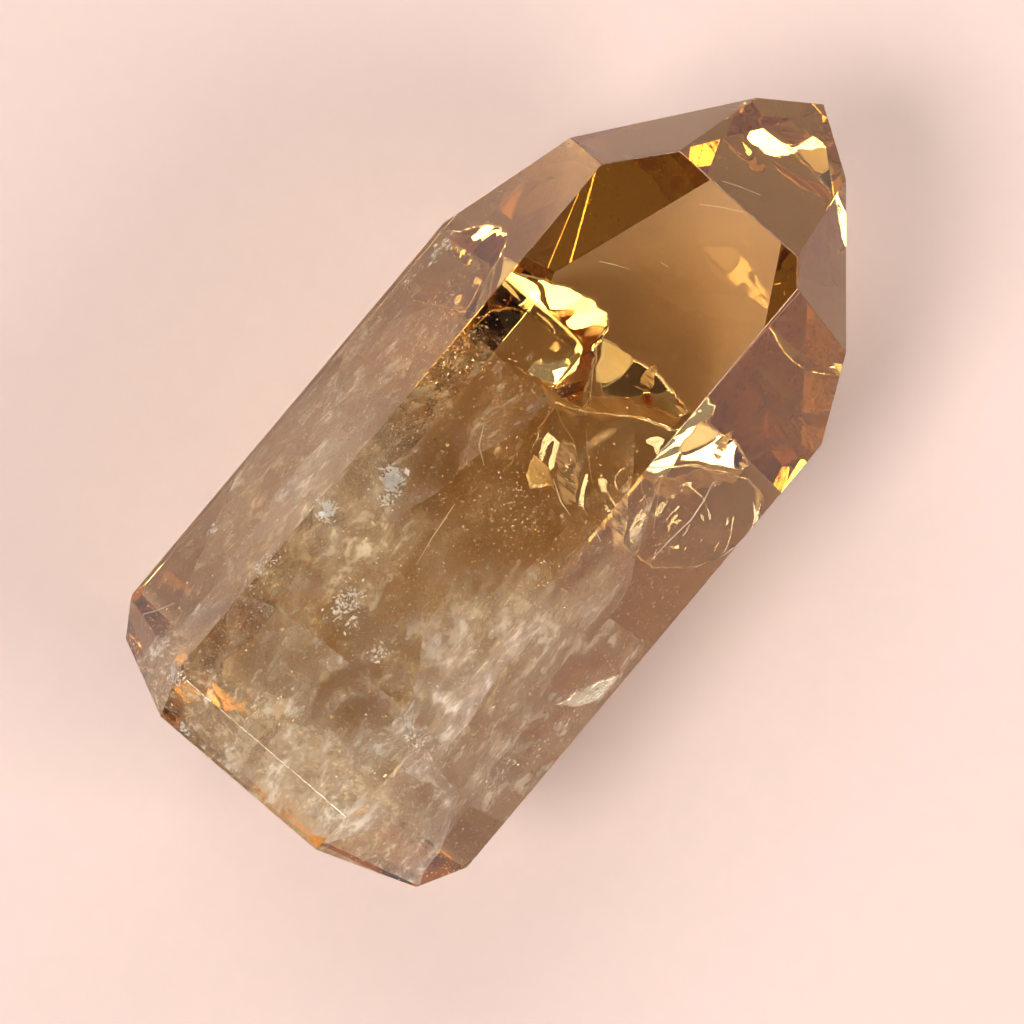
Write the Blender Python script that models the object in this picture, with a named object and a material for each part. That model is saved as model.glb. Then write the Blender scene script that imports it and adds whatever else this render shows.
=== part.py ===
"""A polished citrine point: one piece of quartz with six long sides, a six-faceted tip and a flat foot.

It lies on its back side. The crystal's axis runs along X with the tip at +X, its front side looks up (+Z),
and the origin is under the middle of the stone, on the surface that it lies on. Units are metres.

The stone is made as a cutter makes it: a rough block is ground flat once for each facet.
"""

import math
from typing import NamedTuple

import bmesh
import bpy
from mathutils import Vector

MM = 0.001


class Side(NamedTuple):
    """One long side of the prism."""

    turn: float  # degrees round the axis, from straight up towards +Y
    depth: float  # mm from the axis


class TipFacet(NamedTuple):
    """One facet of the tip."""

    turn: float  # degrees round the axis, from straight up towards +Y
    lean: float  # degrees that it looks towards the tip, from square to the axis
    reach: float  # mm from the foot to where its plane crosses the axis


class RimCut(NamedTuple):
    """The bevel between one side and the foot."""

    height: float  # mm up the side
    width: float  # mm across the foot


# The crystal grew a little deeper towards its back than towards its front
SIDES = {
    "front": Side(turn=0, depth=8.17),
    "left": Side(turn=60, depth=8.17),
    "back_left": Side(turn=115, depth=8.55),
    "back": Side(turn=180, depth=10.5),
    "back_right": Side(turn=-115, depth=8.55),
    "right": Side(turn=-60, depth=8.17),
}

# Quartz ends in six faces that lean about 38 degrees. Polishing laid the front one flatter.
TIP = {
    "front": TipFacet(turn=-2.5, lean=48.5, reach=37.7),
    "left": TipFacet(turn=56, lean=36, reach=39.85),
    "back_left": TipFacet(turn=109.5, lean=32.5, reach=36.65),
    "back": TipFacet(turn=181.5, lean=35.5, reach=38.35),
    "back_right": TipFacet(turn=-113.5, lean=38, reach=36.8),
    "right": TipFacet(turn=-61, lean=35.5, reach=40.65),
}

# The foot was cut a little out of square, so it looks this many degrees towards the back
FOOT_LEAN = 6.4
FOOT_RIM = {
    "front": RimCut(height=2.0, width=0.8),
    "left": RimCut(height=1.75, width=0.75),
    "back_left": RimCut(height=1.1, width=1.0),
    "back": RimCut(height=1.6, width=0.9),
    "back_right": RimCut(height=1.5, width=1.05),
    "right": RimCut(height=2.3, width=0.6),
}

# The rough block, larger than the stone on every side
ROUGH = Vector((60, 30, 30)) * MM
ROUGH_CENTRE = Vector((25, 0, 0)) * MM

CITRINE = (0.78, 0.55, 0.28, 1.0)


def outward(turn, lean=0.0):
    """The direction that a facet looks in."""
    turn, lean = math.radians(turn), math.radians(lean)
    return Vector((math.sin(lean), math.cos(lean) * math.sin(turn), math.cos(lean) * math.cos(turn)))


def grind(stone, point, direction):
    """Takes off all that lies past the plane through point that looks in this direction."""
    everything = stone.verts[:] + stone.edges[:] + stone.faces[:]
    cut = bmesh.ops.bisect_plane(
        stone, geom=everything, plane_co=point, plane_no=direction, clear_outer=True, dist=1e-7
    )
    rim = [part for part in cut["geom_cut"] if isinstance(part, bmesh.types.BMEdge)]
    bmesh.ops.contextual_create(stone, geom=rim)


def cut_sides(stone):
    for side in SIDES.values():
        direction = outward(side.turn)
        grind(stone, direction * side.depth * MM, direction)


def cut_tip(stone):
    for facet in TIP.values():
        grind(stone, Vector((facet.reach * MM, 0, 0)), outward(facet.turn, facet.lean))


def cut_foot(stone):
    """Cuts the foot through X = 0 on the axis, then bevels it along each side."""
    grind(stone, Vector((0, 0, 0)), outward(180, FOOT_LEAN - 90))
    for name, rim in FOOT_RIM.items():
        side = SIDES[name]
        corner = outward(side.turn) * side.depth * MM
        corner.x = rim.height * MM - corner.z * math.tan(math.radians(FOOT_LEAN))
        slope = math.degrees(math.atan2(rim.width, rim.height))
        grind(stone, corner, outward(side.turn, -slope))


def lay_down(stone):
    """Rests the back side on Z = 0 and puts the middle of the stone over the origin."""
    low = [min(vertex.co[axis] for vertex in stone.verts) for axis in range(3)]
    high = [max(vertex.co[axis] for vertex in stone.verts) for axis in range(3)]
    move = Vector((-(low[0] + high[0]) / 2, -(low[1] + high[1]) / 2, -low[2]))
    bmesh.ops.translate(stone, verts=stone.verts, vec=move)


def clear_quartz():
    material = bpy.data.materials.new("citrine")
    material.use_nodes = True
    shader = material.node_tree.nodes["Principled BSDF"]
    shader.inputs["Base Color"].default_value = CITRINE
    shader.inputs["Metallic"].default_value = 0.0
    shader.inputs["Roughness"].default_value = 0.02
    shader.inputs["IOR"].default_value = 1.544
    shader.inputs["Transmission Weight"].default_value = 1.0
    return material


def citrine_point():
    stone = bmesh.new()
    bmesh.ops.create_cube(stone, size=1.0)
    bmesh.ops.scale(stone, verts=stone.verts, vec=ROUGH)
    bmesh.ops.translate(stone, verts=stone.verts, vec=ROUGH_CENTRE)
    cut_sides(stone)
    cut_tip(stone)
    cut_foot(stone)
    lay_down(stone)
    bmesh.ops.recalc_face_normals(stone, faces=stone.faces[:])
    mesh = bpy.data.meshes.new("citrine_point")
    stone.to_mesh(mesh)
    stone.free()
    mesh.materials.append(clear_quartz())
    point = bpy.data.objects.new("citrine_point", mesh)
    bpy.context.scene.collection.objects.link(point)
    return point


def main():
    for old in list(bpy.data.objects):
        bpy.data.objects.remove(old)
    citrine_point()


main()
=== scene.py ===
import math
import random

import bmesh
import bpy
from mathutils import Matrix, Vector, noise


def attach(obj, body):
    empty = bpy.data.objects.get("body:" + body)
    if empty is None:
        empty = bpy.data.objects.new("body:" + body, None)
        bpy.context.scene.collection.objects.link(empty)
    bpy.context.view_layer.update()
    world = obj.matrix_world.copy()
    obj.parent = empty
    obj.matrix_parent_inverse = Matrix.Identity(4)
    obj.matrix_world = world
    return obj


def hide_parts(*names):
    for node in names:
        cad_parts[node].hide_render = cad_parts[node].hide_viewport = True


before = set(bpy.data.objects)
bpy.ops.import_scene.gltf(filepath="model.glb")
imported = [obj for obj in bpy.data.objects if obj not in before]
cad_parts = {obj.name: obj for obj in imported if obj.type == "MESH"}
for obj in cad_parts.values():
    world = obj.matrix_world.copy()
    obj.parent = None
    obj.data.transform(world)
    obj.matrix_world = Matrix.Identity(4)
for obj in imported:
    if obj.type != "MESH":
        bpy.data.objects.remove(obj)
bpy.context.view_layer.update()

MM = 0.001
STONE = "citrine_point"
# The stone's axis: the crystal's own middle line in the part frame.
AXIS_SHIFT = Vector((-0.479, 0.0, 10.5)) * MM

# Camera, read from the photograph's facets, in the part frame.
VIEW_TILT = math.radians(4.4)
AXIS_TURN = math.radians(40.0)
LOOK_AT = Vector((-3.22, -1.01, 10.42)) * MM
CAMERA_REACH = 130.43 * MM
LENS = 105.47
SENSOR = 36.0

# Quartz bends light this much, and this smoky gold deepens with the way through it.
QUARTZ_IOR = 1.544
TINT = (0.858, 0.70, 0.31, 1.0)
TINT_DENSITY = 130.0

# Bubble veils: the common colour, the foot's, the one near the break, and the thick tufts'.
MILK_COLOUR = (0.90, 0.77, 0.67, 1.0)
FOOT_TAN = (0.66, 0.50, 0.37, 1.0)
BREAK_RUST = (0.80, 0.52, 0.33, 1.0)
MILK_CURL = (1.0, 0.95, 0.91, 1.0)
FLOOR_COLOUR = (0.57, 0.435, 0.395, 1.0)

# Vertices closer than this are one, and faces turned less than this are flat.
MERGE_REACH = 0.001 * MM
FLAT_ANGLE = math.radians(0.5)
# The least quartz left over each kind of flaw.
CRACK_COVER = 0.05 * MM
VEIL_COVER = 0.12 * MM
SPECK_COVER = 0.15 * MM
KNOT_COVER = 0.1 * MM
# Spacing of a veil's mesh, mm.
VEIL_CELL = 0.16

EDGE_EASE = 0.035 * MM
FLOOR_GAP = 0.05 * MM
FLOOR_SIZE = 0.6
LAMP_REACH = 0.5
# Each lamp: name, turn and rise in degrees, size in metres, watts, colour.
LAMPS = (
    ("window_light", -23.0, 37.0, (0.2, 0.18), 1.75, (1.0, 0.98, 0.95)),
    ("foot_light", -146.0, 60.0, (0.19, 0.18), 2.1, (1.0, 0.98, 0.94)),
    ("top_light", 110.0, 52.0, (0.2, 0.2), 0.7, (1.0, 0.97, 0.93)),
    ("tip_card", 62.0, 13.0, (0.36, 0.2), 1.5, (1.0, 0.98, 0.95)),
)

# Where the milk ends toward the tip, on the stone's right and elsewhere, and its fade, mm.
RIGHT_PART = -3.5
RIGHT_MILK_END = 2.5
MILK_END = -1.5
MILK_FADE = 6.5
# Browner gaps in the milk: along, across, reach, mm.
BROWN_GAPS = (
    (-13.3, 4.1, 1.6),
    (-17.4, 3.9, 1.2),
    (-13.7, -1.9, 1.0),
    (-4.5, -1.5, 2.0),
    (-3.0, 2.5, 1.6),
)
GAP_STRENGTH = 0.75
# The clear room under the break: middle and reach, along and across, mm.
CLEAR_MIDDLE = (0.8, -1.7)
CLEAR_REACH = (2.3, 2.0)
# The cloud right at the foot: where it starts and how far it takes to fill, mm, and how thick.
FOOT_CLOUD_START = -14.8
FOOT_CLOUD_FADE = 1.6
FOOT_CLOUD = 0.8


class Wire:
    """One output of a node. Arithmetic written on it adds Math nodes."""

    def __init__(self, finish, socket):
        self.finish = finish
        self.socket = socket

    def maths(self, operation, first, second, clamp=False):
        settings = {"operation": operation, "use_clamp": clamp}
        return self.finish.node("ShaderNodeMath", settings, {0: first, 1: second})

    def __add__(self, other):
        return self.maths("ADD", self, other)

    def __radd__(self, other):
        return self.maths("ADD", other, self)

    def __sub__(self, other):
        return self.maths("SUBTRACT", self, other)

    def __rsub__(self, other):
        return self.maths("SUBTRACT", other, self)

    def __mul__(self, other):
        return self.maths("MULTIPLY", self, other)

    def __rmul__(self, other):
        return self.maths("MULTIPLY", other, self)

    def kept(self):
        """Held between 0 and 1."""
        return self.maths("ADD", self, 0.0, clamp=True)

    def step(self, low, high):
        """0 below low, 1 above high, with a soft passage between."""
        values = {"Value": self, "From Min": low, "From Max": high}
        settings = {"interpolation_type": "SMOOTHSTEP"}
        return self.finish.node("ShaderNodeMapRange", settings, values)


class Finish:
    """A material, or the world, and the nodes in it."""

    def __init__(self, name, owner=None):
        self.owner = owner or bpy.data.materials.new(name)
        self.owner.use_nodes = True
        self.tree = self.owner.node_tree
        self.tree.nodes.clear()

    def node(self, kind, settings=None, values=None, out=0):
        made = self.tree.nodes.new(kind)
        for key, value in (settings or {}).items():
            setattr(made, key, value)
        for key, value in (values or {}).items():
            if isinstance(value, Wire):
                self.tree.links.new(value.socket, made.inputs[key])
            else:
                made.inputs[key].default_value = value
        return Wire(self, made.outputs[out]) if made.outputs else made

    def place(self):
        return self.node("ShaderNodeTexCoord", out="Object")

    def along(self, axis):
        """How far along one axis of the stone a point is: 0, 1, 2 for x, y, z."""
        return self.node("ShaderNodeSeparateXYZ", {}, {"Vector": self.place()}, out=axis)

    def noise(self, scale, detail=3.0, roughness=0.55, distortion=0.0, at=None, stretch=None):
        where = at or self.place()
        if stretch:
            where = self.node("ShaderNodeMapping", {}, {"Vector": where, "Scale": stretch})
        values = {
            "Vector": where,
            "Scale": scale,
            "Detail": detail,
            "Roughness": roughness,
            "Distortion": distortion,
        }
        return self.node("ShaderNodeTexNoise", {}, values)

    def mix(self, factor, first, second):
        values = {"Factor": factor, 6: first, 7: second}
        return self.node("ShaderNodeMix", {"data_type": "RGBA"}, values, out=2)

    def bump(self, height, distance, strength=1.0):
        values = {"Height": height, "Distance": distance, "Strength": strength}
        return self.node("ShaderNodeBump", {}, values)

    def surface(self, shader, volume=None):
        values = {"Surface": shader}
        if volume:
            values["Volume"] = volume
        self.node("ShaderNodeOutputMaterial", {}, values)
        return self.owner


def citrine_finish():
    """Clear polished quartz, smoky gold through and through, with the faintest polishing ripple."""
    skin = Finish("citrine")
    ripple = skin.noise(120.0, 1.0)
    glass = skin.node("ShaderNodeBsdfPrincipled", {}, {
        "Base Color": (1.0, 1.0, 1.0, 1.0),
        "Roughness": 0.0,
        "IOR": QUARTZ_IOR,
        "Transmission Weight": 1.0,
        "Normal": skin.bump(ripple, 0.002 * MM, 0.2),
    })
    smoke = skin.node("ShaderNodeVolumeAbsorption", {}, {"Color": TINT, "Density": TINT_DENSITY})
    return skin.surface(glass, smoke)


def floor_finish():
    """A pale matt table top with a barely seen grain."""
    top = Finish("pale_floor")
    grain = top.noise(900.0, 2.0)
    lighter = tuple(c * 1.015 for c in FLOOR_COLOUR[:3]) + (1.0,)
    shade = top.mix(grain.step(0.3, 0.7), FLOOR_COLOUR, lighter)
    matt = top.node("ShaderNodeBsdfPrincipled", {}, {
        "Base Color": shade,
        "Roughness": 0.75,
        "Normal": top.bump(grain, 0.02 * MM, 0.2),
    })
    return top.surface(matt)


def air_gap_finish():
    """A crack's empty gap: light inside the stone meets air there, so it mirrors at a slant."""
    gap = Finish("air_gap")
    swell = gap.noise(500.0, 1.0)
    glass = gap.node("ShaderNodeBsdfGlass", {}, {
        "Color": (1.0, 1.0, 1.0, 1.0),
        "Roughness": 0.0,
        "IOR": 1.0 / QUARTZ_IOR,
        "Normal": gap.bump(swell, 0.02 * MM, 0.2),
    })
    return gap.surface(glass)


def crack_painted_reflection_finish(name, pale, deep, tear=0.5, roughness=0.3, metal=0.7, stretch=(5.0, 1.0, 1.0)):
    """A torn crack face in painted reflection: its pale and deep colours stand in for the light its air
    gap would mirror, beside the real sheen of its metal; fine lines cross it, with gaps where it is
    tight.
    """
    face = Finish(name)
    lines = face.noise(700.0, 3.0, 0.6, 0.6, stretch=stretch)
    cloud = face.noise(350.0, 2.0, 0.6)
    # Painted reflection: pale where the lines and cloud rise, deep elsewhere.
    colour = face.mix((lines * 0.6 + cloud * 0.5).step(0.35, 0.75), deep, pale)
    open_part = (cloud * 0.7 + lines * 0.5).step(tear, tear + 0.12)
    coat = face.node("ShaderNodeBsdfPrincipled", {}, {
        "Base Color": colour,
        "Metallic": metal,
        "Roughness": roughness,
        "Alpha": open_part,
        "Normal": face.bump(lines, 0.05 * MM, 0.4),
    })
    return face.surface(coat)


def milk_finish():
    """Veils of tiny bubbles: how thick is kept on the mesh, the wisps and tufts are drawn here."""
    veil = Finish("milk")
    amount = veil.node("ShaderNodeAttribute", {"attribute_name": "milk"}, out="Fac")
    wisp = veil.noise(1150.0, 3.0, 0.7, 0.25, stretch=(0.7, 1.0, 1.0))
    tuft = wisp.step(0.52, 0.68)
    body = amount * (0.35 + wisp.step(0.34, 0.66) * 0.5 + tuft * 0.5)
    along = veil.along(0)
    across = veil.along(1)
    foot_left = across.step(-1.5 * MM, 2.0 * MM) * (1.0 - along.step(-17.0 * MM, -12.0 * MM))
    pale = veil.mix(foot_left, MILK_COLOUR, FOOT_TAN)
    pale = veil.mix(along.step(-6.0 * MM, 0.0), pale, BREAK_RUST)
    chalk = veil.node("ShaderNodeBsdfPrincipled", {}, {
        "Base Color": veil.mix(tuft, pale, MILK_CURL),
        "Roughness": 0.6,
        "Alpha": body.kept(),
    })
    return veil.surface(chalk)


def speck_finish(name, colour, roughness=0.4, metal=0.0):
    """One small flake's face, barely darker in places."""
    dot = Finish(name)
    tone = dot.noise(900.0, 1.0)
    darker = tuple(c * 0.75 for c in colour[:3]) + (1.0,)
    shade = dot.mix(tone.step(0.3, 0.7), darker, colour)
    values = {"Base Color": shade, "Roughness": roughness, "Metallic": metal}
    return dot.surface(dot.node("ShaderNodeBsdfPrincipled", {}, values))


def held(value):
    """The value, held between 0 and 1."""
    return min(1.0, max(0.0, value))


def new_piece(name, bm, finish):
    mesh = bpy.data.meshes.new(name)
    bm.to_mesh(mesh)
    bm.free()
    piece = bpy.data.objects.new(name, mesh)
    bpy.context.scene.collection.objects.link(piece)
    mesh.materials.append(finish)
    return piece


def stone_planes():
    """Every facet of the CAD stone as (a point on it, its outward direction)."""
    bm = bmesh.new()
    bm.from_mesh(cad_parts[STONE].data)
    bmesh.ops.remove_doubles(bm, verts=bm.verts, dist=MERGE_REACH)
    bmesh.ops.dissolve_limit(bm, angle_limit=FLAT_ANGLE, verts=bm.verts, edges=bm.edges)
    planes = [(f.calc_center_median(), f.normal.copy()) for f in bm.faces]
    bm.free()
    return planes


def keep_inside(bm, gap):
    """Trims a shape to the stone, that far under its skin."""
    for point, out in FACETS:
        bmesh.ops.bisect_plane(
            bm,
            geom=bm.verts[:] + bm.edges[:] + bm.faces[:],
            plane_co=point - out * gap,
            plane_no=out,
            clear_outer=True,
        )


def refine(bm, longest):
    """Splits long edges until none is longer than that."""
    for _ in range(12):
        long_edges = [e for e in bm.edges if e.calc_length() > longest]
        if not long_edges:
            break
        bmesh.ops.subdivide_edges(bm, edges=long_edges, cuts=1)
        bmesh.ops.triangulate(bm, faces=[f for f in bm.faces if len(f.verts) > 3])


def crack(name, outline, finish, profile, ripple=0.0, wave=1.2, origin=(0.0, 0.0), rough=0.03,
          gap=0.02, cell=0.2, seed=0):
    """A crack's face. profile(x, y): its height above the axis, mm. ripple and wave: height and
    spacing of the curved ridges round origin. rough: how far it wanders."""
    bm = bmesh.new()
    corners = [bm.verts.new((x, y, 0.0)) for x, y in outline]
    bm.faces.new(corners)
    bmesh.ops.triangulate(bm, faces=bm.faces[:])
    refine(bm, cell)
    for vert in bm.verts:
        spot = Vector((vert.co.x * 2.3, vert.co.y * 2.3, seed + 9.0))
        aside = spot + Vector((31.7, 17.3, 5.1))
        flat = Vector((vert.co.x + 0.1 * noise.noise(spot), vert.co.y + 0.1 * noise.noise(aside)))
        far = (flat - Vector(origin)).length
        height = profile(flat.x, flat.y) + ripple * math.sin(2.0 * math.pi * far / wave)
        height += rough * noise.noise(Vector((flat.x * 0.5, flat.y * 0.5, seed)))
        vert.co = Vector((flat.x, flat.y, height))
    bmesh.ops.recalc_face_normals(bm, faces=bm.faces[:])
    bmesh.ops.solidify(bm, geom=bm.faces[:], thickness=gap)
    bmesh.ops.recalc_face_normals(bm, faces=bm.faces[:])
    for face in bm.faces:
        face.smooth = True
    bmesh.ops.scale(bm, vec=(MM, MM, MM), verts=bm.verts[:])
    bmesh.ops.translate(bm, vec=AXIS_SHIFT, verts=bm.verts[:])
    keep_inside(bm, CRACK_COVER)
    return dress(new_piece(name, bm, finish))


def slope(height, x, y, along=0.0, across=0.0):
    """A flat crack: height above the axis at x, y, and its rise along and across the stone."""
    return lambda a, b: height + along * (a - x) + across * (b - y)


def dress(piece):
    """Hands a flaw to the stone's body."""
    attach(piece, "root")
    return piece


def veil(name, centre, facing, size, finish, seed, thickness, reach=0.0):
    """A wavy sheet of tiny bubbles across the stone, trimmed to it."""
    bm = bmesh.new()
    counts = [int(side / VEIL_CELL) for side in size]
    bmesh.ops.create_grid(bm, x_segments=counts[0], y_segments=counts[1], size=0.5)
    bmesh.ops.scale(bm, vec=(size[0], size[1], 1.0), verts=bm.verts[:])
    for vert in bm.verts:
        swell = noise.noise(Vector((vert.co.x * 0.16, vert.co.y * 0.16, seed)))
        small = noise.noise(Vector((vert.co.x * 0.5, vert.co.y * 0.5, seed + 4.0)))
        vert.co.z += 1.2 * swell + 0.35 * small
    turn = Vector(facing).to_track_quat("Z", "X").to_matrix()
    bmesh.ops.rotate(bm, matrix=turn, verts=bm.verts[:])
    bmesh.ops.translate(bm, vec=centre, verts=bm.verts[:])
    layer = bm.verts.layers.float.new("milk")
    for vert in bm.verts:
        vert[layer] = thickness * cloud(vert.co, seed, reach)
    bmesh.ops.scale(bm, vec=(MM, MM, MM), verts=bm.verts[:])
    bmesh.ops.translate(bm, vec=AXIS_SHIFT, verts=bm.verts[:])
    keep_inside(bm, VEIL_COVER)
    for face in bm.faces:
        face.smooth = True
    return dress(new_piece(name, bm, finish))


def cloud(spot, seed, reach):
    """How milky the stone is at a spot: thick at the foot, thinning towards the break."""
    lump = 0.5 + 0.75 * noise.noise(Vector(spot) * 0.28 + Vector((0.0, 0.0, seed * 3.0)))
    tuft = 0.5 + 0.9 * noise.noise(Vector(spot) * 1.0 + Vector((seed, 0.0, 5.0)))
    start = (RIGHT_MILK_END if spot.y < RIGHT_PART else MILK_END) + reach
    fade = held((start - spot.x) / MILK_FADE)
    bare = 0.9 if spot.x < -12.5 and spot.y > -1.0 else 1.0
    for x, y, wide in BROWN_GAPS:
        gap = ((spot.x - x) ** 2 + (spot.y - y) ** 2) / (wide * wide)
        bare *= 1.0 - GAP_STRENGTH * math.exp(-gap)
    along = (spot.x - CLEAR_MIDDLE[0]) / CLEAR_REACH[0]
    across = (spot.y - CLEAR_MIDDLE[1]) / CLEAR_REACH[1]
    clear = held(along ** 2 + across ** 2 - 0.6)
    thick = max(0.0, lump * 0.8 + tuft * 0.5 - 0.12)
    milky = thick * (fade * fade * (3.0 - 2.0 * fade)) * bare * clear
    foot = FOOT_CLOUD * held((FOOT_CLOUD_START - spot.x) / FOOT_CLOUD_FADE)
    return max(milky, foot)


def inside_stone(point, gap):
    """Whether a point is that far under every facet."""
    return all((point - on).dot(out) < -gap for on, out in FACETS)


def add_flake(bm, base, spot, stretch, turn):
    """Adds one small flake to a shared mesh."""
    one = base.copy()
    place = Matrix.LocRotScale(spot, turn, stretch)
    one.transform(Matrix.Translation(AXIS_SHIFT) @ Matrix.Scale(MM, 4) @ place)
    bm.from_mesh(one)
    bpy.data.meshes.remove(one)


def flake_base(name):
    """The one small flake that the loose ones repeat: eight faces."""
    template = bmesh.new()
    bmesh.ops.create_uvsphere(template, u_segments=4, v_segments=2, radius=1.0)
    base = bpy.data.meshes.new(name)
    template.to_mesh(base)
    template.free()
    return base


def specks(name, count, finish, low, high, size, density, seed, flat=0.25):
    """Loose flakes and bubbles scattered where density(point) is high. Sizes in mm."""
    draw = random.Random(seed)
    base = flake_base(name + "_one")
    bm = bmesh.new()
    placed = 0
    for _ in range(count * 40):
        if placed == count:
            break
        spot = Vector([draw.uniform(a, b) for a, b in zip(low, high)])
        if draw.random() > density(spot):
            continue
        if not inside_stone(spot * MM + AXIS_SHIFT, SPECK_COVER):
            continue
        grow = size[0] + (size[1] - size[0]) * draw.random() ** 3
        stretch = Vector((1.0, draw.uniform(0.25, 1.0), flat * draw.uniform(0.3, 1.0))) * grow
        turn = Vector([draw.gauss(0, 1) for _ in range(3)]).to_track_quat("Z", "Y")
        add_flake(bm, base, spot, stretch, turn)
        placed += 1
    bpy.data.meshes.remove(base)
    return dress(new_piece(name, bm, finish))


def clusters(name, finish, places, seed, narrow=1.0):
    """Knots of flakes. places: (middle, reach, count, largest flake), mm. narrow: how slim they are."""
    draw = random.Random(seed)
    base = flake_base(name + "_one")
    bm = bmesh.new()
    for middle, reach, count, largest in places:
        for _ in range(count):
            off = Vector([draw.gauss(0, 0.5) * r for r in reach])
            spot = Vector(middle) + off
            if not inside_stone(spot * MM + AXIS_SHIFT, KNOT_COVER):
                continue
            grow = largest * (0.25 + 0.75 * draw.random() ** 2)
            wide = draw.uniform(0.3, 0.9) * narrow
            thick = draw.uniform(0.08, 0.3) * narrow
            stretch = Vector((1.0, wide, thick)) * grow
            facing = Vector((draw.gauss(0, 1), draw.gauss(0, 1), draw.gauss(1.2, 0.8)))
            turn = facing.to_track_quat("Z", "Y")
            add_flake(bm, base, spot, stretch, turn)
    bpy.data.meshes.remove(base)
    return dress(new_piece(name, bm, finish))


def thread(bm, points, thick, sides=5):
    """One fine fibre through its points, mm, thinning to both ends."""
    path = [Vector(p) for p in points]
    rings = []
    for k, spot in enumerate(path):
        ahead = (path[min(k + 1, len(path) - 1)] - path[max(k - 1, 0)]).normalized()
        side = ahead.cross(Vector((0.3, 0.2, 1.0))).normalized()
        over = ahead.cross(side)
        wide = thick * (0.15 + 0.85 * math.sin(math.pi * (k + 0.5) / len(path)))
        ring = []
        for turn in range(sides):
            angle = 2.0 * math.pi * turn / sides
            ring.append(bm.verts.new(spot + (side * math.cos(angle) + over * math.sin(angle)) * wide))
        rings.append(ring)
    for first, second in zip(rings, rings[1:]):
        for turn in range(sides):
            after = (turn + 1) % sides
            bm.faces.new((first[turn], first[after], second[after], second[turn]))
    bm.faces.new(rings[0][::-1])
    bm.faces.new(rings[-1])


def threads(name, finish, paths):
    bm = bmesh.new()
    for thick, points in paths:
        thread(bm, points, thick)
    bmesh.ops.recalc_face_normals(bm, faces=bm.faces[:])
    bmesh.ops.scale(bm, vec=(MM, MM, MM), verts=bm.verts[:])
    bmesh.ops.translate(bm, vec=AXIS_SHIFT, verts=bm.verts[:])
    return dress(new_piece(name, bm, finish))


def cut_stone(finish):
    """The CAD stone with its loose triangles joined and every edge eased by the polishing wheel."""
    bm = bmesh.new()
    bm.from_mesh(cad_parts[STONE].data)
    bmesh.ops.remove_doubles(bm, verts=bm.verts, dist=MERGE_REACH)
    bmesh.ops.dissolve_limit(bm, angle_limit=FLAT_ANGLE, verts=bm.verts, edges=bm.edges)
    bmesh.ops.bevel(
        bm,
        geom=bm.edges[:],
        offset=EDGE_EASE,
        offset_type="OFFSET",
        segments=3,
        profile=0.5,
        affect="EDGES",
        clamp_overlap=True,
        material=-1,
    )
    bmesh.ops.recalc_face_normals(bm, faces=bm.faces)
    return new_piece("polished_stone", bm, finish)


def lay_floor(finish):
    bm = bmesh.new()
    bmesh.ops.create_grid(bm, x_segments=1, y_segments=1, size=FLOOR_SIZE)
    bmesh.ops.translate(bm, vec=(0.0, 0.0, -FLOOR_GAP), verts=bm.verts)
    floor = new_piece("floor", bm, finish)
    return floor


def set_camera():
    """Looks down on the stone as the picture does, tip to the upper right."""
    along = Vector((1.0, 0.0, 0.0))
    across = Vector((0.0, -math.cos(VIEW_TILT), -math.sin(VIEW_TILT)))
    back = Vector((0.0, -math.sin(VIEW_TILT), math.cos(VIEW_TILT)))
    right = math.sin(AXIS_TURN) * along + math.cos(AXIS_TURN) * across
    up = math.cos(AXIS_TURN) * along - math.sin(AXIS_TURN) * across
    turn = Matrix((right, up, back)).transposed()
    data = bpy.data.cameras.new("camera")
    data.lens = LENS
    data.sensor_width = SENSOR
    data.clip_start = 0.01
    data.clip_end = 10.0
    camera = bpy.data.objects.new("camera", data)
    camera.matrix_world = Matrix.Translation(LOOK_AT + back * CAMERA_REACH) @ turn.to_4x4()
    bpy.context.scene.collection.objects.link(camera)
    bpy.context.scene.camera = camera


def lamp_place(turn, rise):
    """Where a lamp hangs: turn anticlockwise from the picture's right, rise above the floor."""
    turn = math.radians(turn)
    rise = math.radians(rise)
    right = Vector((math.sin(AXIS_TURN), -math.cos(AXIS_TURN), 0.0))
    up = Vector((math.cos(AXIS_TURN), math.sin(AXIS_TURN), 0.0))
    level = (right * math.cos(turn) + up * math.sin(turn)) * math.cos(rise)
    return LOOK_AT + (level + Vector((0.0, 0.0, math.sin(rise)))) * LAMP_REACH


def soft_light(name, place, size, watts, colour):
    data = bpy.data.lights.new(name, "AREA")
    data.shape = "RECTANGLE"
    data.size = size[0]
    data.size_y = size[1]
    data.energy = watts
    data.color = colour
    lamp = bpy.data.objects.new(name, data)
    lamp.location = place
    aim = LOOK_AT - Vector(place)
    lamp.rotation_euler = aim.to_track_quat("-Z", "Y").to_euler()
    bpy.context.scene.collection.objects.link(lamp)
    return lamp


def set_lights():
    world = bpy.data.worlds.new("studio")
    bpy.context.scene.world = world
    air = Finish("studio", world)
    facing = air.node("ShaderNodeTexCoord", out="Generated")
    height = air.node("ShaderNodeSeparateXYZ", {}, {"Vector": facing}, out=2)
    glow = 0.42 - height.step(0.72, 0.96) * 0.32
    pale = air.node("ShaderNodeBackground", {}, {"Color": (1.0, 0.97, 0.94, 1.0), "Strength": glow})
    air.node("ShaderNodeOutputWorld", {}, {"Surface": pale})
    for name, turn, rise, size, watts, colour in LAMPS:
        soft_light(name, lamp_place(turn, rise), size, watts, colour)


def set_light_paths():
    cycles = bpy.context.scene.cycles
    cycles.max_bounces = 11
    cycles.diffuse_bounces = 2
    cycles.glossy_bounces = 8
    cycles.transmission_bounces = 10
    cycles.transparent_max_bounces = 8
    cycles.adaptive_threshold = 0.2
    bpy.context.scene.view_settings.view_transform = "Standard"


set_camera()
set_lights()
set_light_paths()
lay_floor(floor_finish())

FACETS = stone_planes()
stone = cut_stone(citrine_finish())
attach(stone, "root")
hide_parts(STONE)

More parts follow.
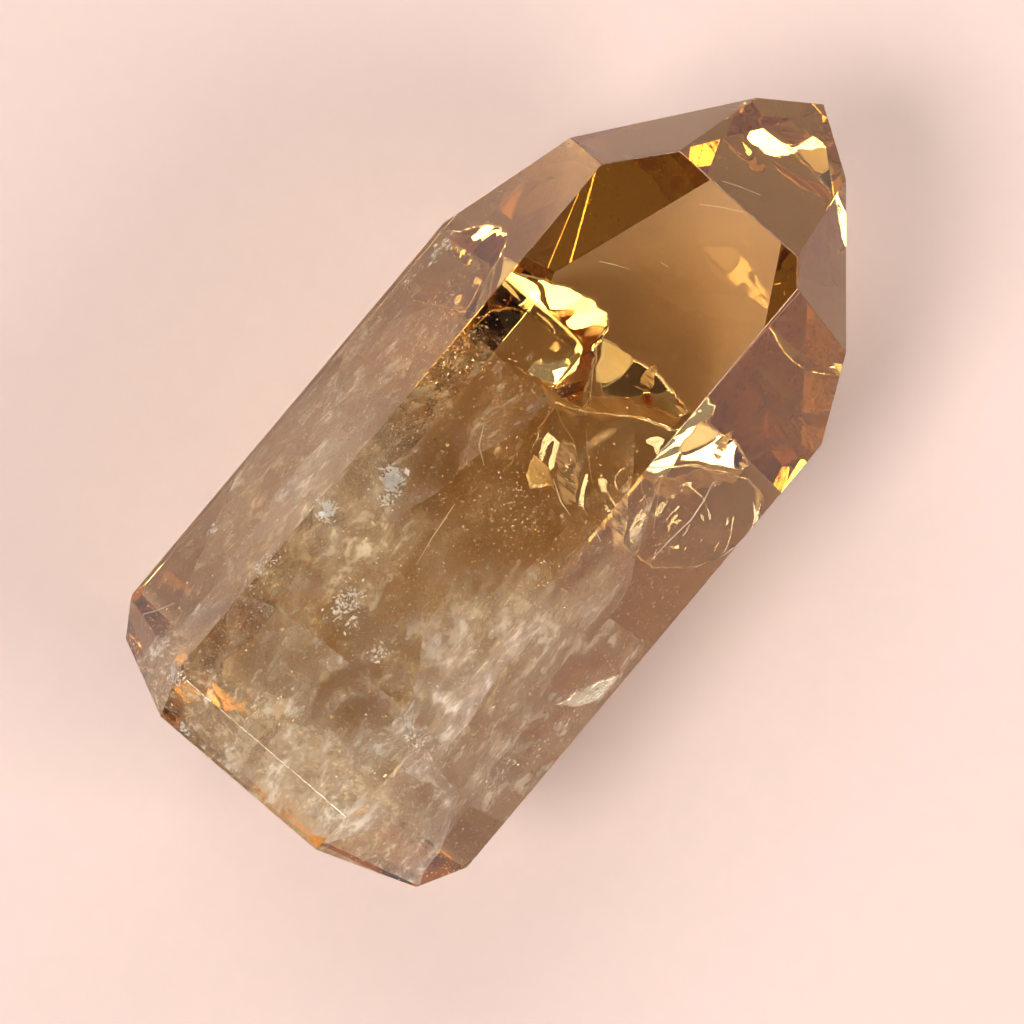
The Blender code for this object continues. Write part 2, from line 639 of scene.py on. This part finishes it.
air_gap = air_gap_finish()
# Painted reflection: these crack faces' cream, gold, tan, peach and silver colours stand in for the
# lamp light their air gaps would mirror.
cream = crack_painted_reflection_finish("cream_crack", (1.0, 0.97, 0.90, 1.0), (0.97, 0.88, 0.70, 1.0), 0.34, 0.4, 0.6)
gold = crack_painted_reflection_finish("gold_crack", (1.0, 0.80, 0.45, 1.0), (0.75, 0.45, 0.18, 1.0), 0.42)
tan = crack_painted_reflection_finish("tan_crack", (0.95, 0.78, 0.60, 1.0), (0.7, 0.46, 0.28, 1.0), 0.5, 0.4, 0.5)
rim = crack_painted_reflection_finish("rim_crack", (1.0, 0.85, 0.66, 1.0), (0.85, 0.6, 0.4, 1.0), 0.22, 0.35, 0.5)
silver = crack_painted_reflection_finish("silver_crack", (1.0, 1.0, 0.97, 1.0), (0.85, 0.70, 0.5, 1.0), 0.5, 0.25, 0.8)

# Crack outlines: along the stone from its middle and across it, as seen from the front, mm.
MAIN_BREAK = [
    (1.6, 5.2), (1.9, 6.6), (2.8, 7.5), (4.0, 7.7), (5.0, 7.2), (5.3, 5.9), (5.98, 4.47),
    (6.5, 3.38), (6.63, 2.36), (6.6, 1.45), (6.1, 0.95), (5.2, 0.75), (4.2, 0.15), (3.1, -0.6),
    (2.5, -0.7), (2.3, 0.5), (2.4, 1.4), (2.1, 3.0), (1.9, 4.2),
]
RIGHT_BREAK = [
    (5.6, 0.8), (5.75, 0.2), (5.7, -0.6), (5.85, -1.1), (6.0, -1.7), (5.8, -3.0), (5.5, -4.1),
    (5.0, -4.0), (4.5, -2.7), (4.0, -1.6), (3.6, -0.9), (4.1, -0.3),
]
HACKLE_PATCH = [
    (5.55, 0.75), (5.7, 0.1), (5.75, -0.6), (5.6, -0.9), (4.9, -0.95), (4.2, -0.7), (3.9, -0.3),
    (4.3, 0.1), (4.9, 0.35),
]
UNDER_BREAK = [
    (5.6, 4.6), (5.65, 1.4), (5.2, 1.0), (4.5, 1.2), (4.3, 2.6), (4.4, 4.7),
]
LOWER_LEDGE = [
    (2.3, 1.7), (2.8, 0.3), (3.5, -0.6), (4.75, -2.0), (5.2, -3.1), (5.5, -4.1), (4.5, -4.0),
    (4.3, -3.2), (3.7, -2.6), (3.5, -2.0), (2.8, -1.4), (2.6, -0.8), (2.1, -0.3), (1.9, 0.8),
]
SLIVER = [(4.5, -2.0), (5.3, -1.6), (5.9, -1.6), (6.2, -1.8), (5.4, -2.2), (4.7, -2.5)]
ORANGE_STRIP = [
    (2.5, 1.6), (2.65, 1.0), (2.6, 0.3), (2.7, -0.3), (3.0, -1.2), (2.45, -0.8), (2.1, 0.1),
    (2.1, 0.9),
]
RIGHT_ROSETTE = [
    (2.0, 0.3), (2.5, -0.8), (3.9, -2.8), (5.0, -5.6), (4.9, -7.2), (3.6, -8.1), (2.0, -7.6),
    (0.6, -6.6), (-0.7, -4.5), (-0.8, -1.8), (-0.2, -0.2), (0.9, 0.2),
]
OLIVE_FLAKE = [
    (0.9, -0.9), (1.1, -1.6), (0.2, -2.5), (-0.7, -3.1), (-1.1, -2.7), (-0.4, -1.8), (0.3, -1.2),
]
CREAM_FLAKE = [(-0.3, -0.5), (-0.3, -1.4), (-0.8, -2.0), (-1.5, -1.3), (-1.2, -0.8)]
EDGE_PATCH = [
    (-7.9, -7.0), (-7.0, -7.3), (-5.9, -7.8), (-5.1, -8.3), (-5.5, -8.4), (-6.6, -8.3), (-7.4, -7.8),
]
FOOT_STREAK = [(-18.2, 0.2), (-16.8, 0.4), (-14.9, 0.3), (-14.6, 0.8), (-16.2, 1.4), (-17.9, 1.0)]


def break_profile(x, y):
    """The big crack leans toward the tip at its rim, and lies flatter behind its left half."""
    behind = max(0.0, 4.9 - x)
    left = held((y - 1.0) / 1.4)
    lean = -4.47 - 0.778 * (x - 5.0) - 0.071 * (y - 2.0) + 0.007 * (y - 2.0) ** 2
    return lean - 0.45 * left * behind * behind / (behind + 0.5)


def right_profile(x, y):
    """The crack to the right of the big one, steeper and flat."""
    return -3.6 - 1.05 * (x - 5.0)


crack("main_break", MAIN_BREAK, air_gap, break_profile, ripple=0.004, wave=1.4,
      origin=(7.0, 6.0), rough=0.03, seed=1)
crack("right_break", RIGHT_BREAK, air_gap, right_profile, ripple=0.012, wave=0.9,
      origin=(7.0, -4.0), rough=0.06, seed=3)
# Painted reflection: the cream face laid just over the right crack stands in for the lamp light that
# crack mirrors.
crack("hackle_patch", HACKLE_PATCH, cream, lambda x, y: right_profile(x, y) + 0.2, seed=3)
crack("under_break", UNDER_BREAK, air_gap, slope(-6.4, 5.0, 2.5, -0.72, 0.05), ripple=0.012,
      wave=0.9, origin=(5.0, 3.0), rough=0.06, seed=2)
# Painted reflection: the ledge, sliver and strip are coloured to stand in for the light their gaps
# would mirror.
crack("lower_ledge", LOWER_LEDGE, rim, slope(-4.6, 4.0, 0.0, 0.5), ripple=0.03, wave=0.9, seed=4)
crack("sliver", SLIVER, tan, slope(-3.6, 5.0, -2.0, 0.0, 0.3), seed=5)
crack("orange_strip", ORANGE_STRIP, gold, slope(-3.0, 2.5, 0.0, 0.4, 0.4), seed=7)
crack("right_rosette", RIGHT_ROSETTE, air_gap, slope(-1.5, 2.0, -4.0, 0.1, 0.55), ripple=0.04,
      wave=1.3, origin=(1.5, -4.5), rough=0.3, seed=9)
# Painted reflection again: these flakes and patches are coloured to stand in for the light their gaps
# would mirror.
crack("olive_flake", OLIVE_FLAKE, tan, slope(1.5, 0.0, -2.0, 0.3, 0.5), seed=15)
crack("cream_flake", CREAM_FLAKE, gold, slope(2.2, -1.0, -1.2, -0.3, 0.4), seed=16)
crack("edge_patch", EDGE_PATCH, silver, slope(-0.4, -6.4, -7.8, 0.0, 1.5), rough=0.2, seed=17)
crack("foot_streak", FOOT_STREAK, silver, slope(5.6, -16.5, 0.7, 0.1, 0.9), rough=0.3, seed=18)

milk = milk_finish()
VEILS = (
    ((-9.5, 1.0, 5.7), (0.1, 0.1, 1.0), (19.0, 15.0), 0.8, 0.0),
    ((-8.0, -2.0, 2.0), (-0.2, 0.3, 1.0), (20.0, 18.0), 0.95, 0.0),
    ((-8.6, -6.0, 2.2), (0.1, -1.0, 0.6), (21.0, 10.0), 0.6, 0.0),
    ((-8.0, 6.3, 1.5), (0.0, 1.0, 0.55), (20.0, 11.0), 0.28, 2.0),
    ((-16.7, -1.0, 2.0), (1.0, 0.1, -0.8), (15.0, 18.0), 1.0, 0.0),
    ((-2.0, 0.5, 1.5), (-0.25, 0.3, 1.0), (13.0, 12.0), 0.75, 7.0),
    ((-2.0, 4.6, 2.5), (0.1, 0.9, 0.6), (13.0, 8.0), 0.55, 7.5),
)
for number, (centre, facing, size, thickness, reach) in enumerate(VEILS):
    veil("milk_veil_%d" % number, centre, facing, size, milk, float(number), thickness, reach)


def gold_haze(spot):
    """Flakes hang below the break as well, thinner there."""
    fade = held((4.5 - spot.x) / 9.0)
    lump = 0.45 + 0.6 * noise.noise(spot * 0.35) + 0.5 * noise.noise(spot * 1.2)
    return max(0.0, lump) * fade


white_speck = speck_finish("white_speck", (1.0, 0.98, 0.95, 1.0))
glint = speck_finish("gold_glint", (1.0, 0.85, 0.6, 1.0), 0.25, 0.9)
specks("white_specks", 13000, white_speck, (-18, -9, -9), (3, 9, 8), (0.016, 0.07), gold_haze, 5)
specks("gold_glints", 3500, glint, (-18, -9, -9), (5, 9, 8), (0.02, 0.10), gold_haze, 6, 0.12)
KNOTS = (
    ((-4.8, 3.1, 7.5), (0.5, 0.45, 0.25), 110, 0.22),
    ((-5.4, 2.7, 7.3), (1.0, 0.6, 0.3), 80, 0.13),
    ((-7.5, 4.2, 7.5), (0.5, 0.3, 0.2), 70, 0.19),
    ((-9.9, 1.1, 7.4), (1.0, 0.7, 0.3), 150, 0.15),
    ((-10.6, -1.2, 7.2), (0.5, 0.4, 0.3), 60, 0.12),
    ((-12.4, -4.1, 7.0), (0.5, 0.6, 0.3), 70, 0.12),
    ((-9.0, -4.9, 6.3), (0.25, 0.2, 0.2), 24, 0.15),
    ((-11.6, 7.8, 1.1), (0.35, 0.3, 0.3), 34, 0.17),
    ((-10.6, 6.0, 4.4), (0.6, 0.2, 0.3), 34, 0.12),
    ((-16.6, 4.7, 7.1), (0.4, 0.4, 0.2), 46, 0.14),
    ((-18.2, 3.0, 7.0), (0.25, 0.4, 0.2), 36, 0.14),
    ((-11.5, -7.4, 1.6), (1.2, 0.5, 0.6), 110, 0.10),
    ((-9.9, -8.0, 0.6), (0.8, 0.4, 0.5), 70, 0.09),
    ((-11.1, 4.7, 7.2), (1.0, 0.5, 0.3), 80, 0.09),
    ((-12.0, -5.2, 5.7), (1.5, 0.8, 0.7), 120, 0.08),
    ((3.9, 8.1, 0.3), (0.8, 0.4, 0.5), 60, 0.2),
    ((2.4, 8.4, 0.2), (0.7, 0.3, 0.4), 30, 0.16),
    ((-2.2, -1.6, 5.7), (1.5, 1.3, 1.0), 130, 0.07),
    ((3.7, -6.2, 2.2), (0.4, 0.3, 0.3), 14, 0.09),
    ((0.2, -6.3, 2.1), (0.9, 0.6, 0.5), 90, 0.08),
)
clusters("bright_knots", white_speck, KNOTS, 21)
BAND = (
    ((6.4, 7.3, 2.0), (1.2, 0.8, 1.2), 90, 0.07),
    ((8.2, 7.2, 2.2), (1.4, 0.9, 1.2), 110, 0.07),
    ((10.2, 6.4, 3.2), (1.4, 0.8, 1.2), 90, 0.06),
    ((1.0, 3.6, 3.9), (0.6, 0.5, 0.4), 60, 0.10),
    ((0.3, 4.6, 3.6), (2.0, 0.7, 1.4), 260, 0.10),
    ((-2.5, 4.4, 3.0), (2.0, 0.7, 1.4), 160, 0.08),
    ((-1.5, 8.6, 0.2), (2.6, 0.3, 0.5), 50, 0.08),
    ((-6.5, 8.8, -0.2), (2.6, 0.3, 0.5), 50, 0.08),
    ((0.5, 6.5, 3.0), (2.5, 1.2, 1.5), 160, 0.08),
    ((-6.5, -7.8, -0.5), (1.3, 0.5, 0.6), 120, 0.09),
)
clusters("gold_band", glint, BAND, 22)
SHREDS = (
    ((2.9, 6.0, 3.6), (1.2, 1.2, 1.4), 70, 0.18),
    ((1.4, 2.6, 4.6), (2.2, 1.8, 1.6), 120, 0.11),
    ((-0.3, 0.6, 4.5), (2.4, 1.8, 1.6), 120, 0.10),
    ((0.6, 4.8, 4.4), (1.8, 1.0, 1.4), 90, 0.13),
)
shred = speck_finish("salmon_shred", (0.92, 0.64, 0.45, 1.0), 0.3, 0.45)
clusters("torn_shreds", shred, SHREDS, 23, 0.7)
FIBRES = (
    (0.035, ((-0.7, 1.8, 4.2), (-1.1, 1.6, 4.2), (-1.5, 1.4, 4.2), (-2.0, 0.7, 4.1))),
    (0.05, (
        (-0.6, -6.2, 2.2), (0.6, -6.25, 2.1), (1.9, -6.4, 1.9), (2.9, -6.3, 2.1), (3.7, -6.1, 2.4),
    )),
    (0.02, ((7.6, 2.5, 4.2), (7.9, 1.9, 4.2), (8.15, 1.3, 4.2))),
    (0.015, ((12.1, 0.8, 4.2), (12.6, 0.0, 4.2), (13.0, -0.8, 4.2))),
    (0.02, ((9.2, 0.5, 4.2), (9.25, 0.1, 4.2))),
    (0.03, ((-4.0, 0.6, 4.2), (-4.9, 0.5, 4.2), (-5.8, 0.4, 4.2), (-7.0, 0.2, 4.2))),
    (0.03, ((-0.6, -1.9, 4.2), (-1.1, -2.7, 4.2), (-1.3, -3.4, 4.0))),
    (0.03, ((-16.7, 7.6, 2.2), (-16.3, 7.9, 1.7), (-15.8, 7.5, 2.4), (-14.9, 6.9, 3.4))),
    (0.02, ((2.3, 0.9, -2.0), (1.6, -0.2, -2.0), (1.3, -1.2, -2.0), (0.6, -2.1, -2.0))),
    (0.02, ((2.0, -1.3, -2.0), (1.4, -1.9, -2.0), (0.4, -3.0, -2.0))),
)
threads("bright_fibres", white_speck, FIBRES)
